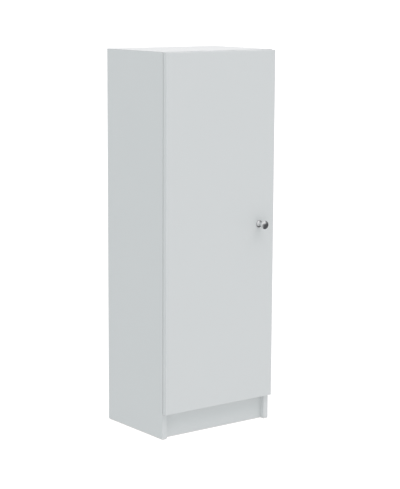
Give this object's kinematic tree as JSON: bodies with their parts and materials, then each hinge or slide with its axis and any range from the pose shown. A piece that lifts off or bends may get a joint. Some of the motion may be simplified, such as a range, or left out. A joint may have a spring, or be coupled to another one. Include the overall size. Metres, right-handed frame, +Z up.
{
  "type": "broom cupboard",
  "caption": "Tall narrow free-standing cupboard with one full-overlay slab door on concealed hinges, a round knob, a shelf and a recessed plinth.",
  "frame": {"origin": "on the floor, under the middle of the bounding box of the closed cupboard with its knob", "axes": "+Z up, +Y towards the wall behind it, so the door faces -Y, and the door's hinges are on the -X side"},
  "size_m": [0.425, 0.3502, 1.2],
  "materials": {
    "white_melamine": "white melamine-faced particle board, satin",
    "white_hardboard": "white lacquered hardboard",
    "nickel_steel": "nickel-plated pressed steel",
    "zinc_plated_steel": "bright zinc-plated steel",
    "cast_zinc": "die-cast zinc",
    "beech": "plain beech",
    "white_plastic": "moulded polyethylene",
    "soft_pad": "translucent soft polyurethane",
    "polished_chrome": "polished chrome"
  },
  "bodies": {
    "carcass": {"left_side_panel": "white_melamine", "right_side_panel": "white_melamine", "top_panel": "white_melamine", "base_panel": "white_melamine", "plinth_panel": "white_melamine", "back_panel": "white_hardboard", "shelf": "white_melamine", "shelf_pins": "nickel_steel", "cam_locks": "cast_zinc", "cam_bolts": "zinc_plated_steel", "dowels": "beech", "floor_glides": "white_plastic", "door_bumpers": "soft_pad", "wall_bracket": "zinc_plated_steel", "wall_bracket_screws": "zinc_plated_steel", "upper_hinge_plate": "nickel_steel", "lower_hinge_plate": "nickel_steel", "hinge_plate_screws": "zinc_plated_steel", "upper_hinge_arm": "nickel_steel", "lower_hinge_arm": "nickel_steel", "hinge_arm_screws": "zinc_plated_steel", "hinge_adjusters": "zinc_plated_steel", "hinge_arm_pins": "nickel_steel"},
    "hinge_links": {"upper_hinge_link": "nickel_steel", "lower_hinge_link": "nickel_steel"},
    "door": {"door_panel": "white_melamine", "upper_hinge_cup": "nickel_steel", "lower_hinge_cup": "nickel_steel", "hinge_cup_screws": "zinc_plated_steel", "hinge_cup_pins": "nickel_steel", "knob": "polished_chrome", "knob_screw": "zinc_plated_steel"}
  },
  "joints": [
    {"name": "link_swing", "type": "hinge", "parent": "carcass", "child": "hinge_links", "pos_m": [-0.1805, -0.1271, 0.64025], "axis": [0, 0, 1], "range_deg": [0, 30]},
    {"name": "door_swing", "type": "hinge", "parent": "hinge_links", "child": "door", "pos_m": [-0.2015, -0.1291, 0.64025], "axis": [0, 0, -1], "range_deg": [0, 130]}
  ],
  "couplings": [
    {"joint": "link_swing", "follows": "door_swing", "ratio": 0.23077}
  ]
}
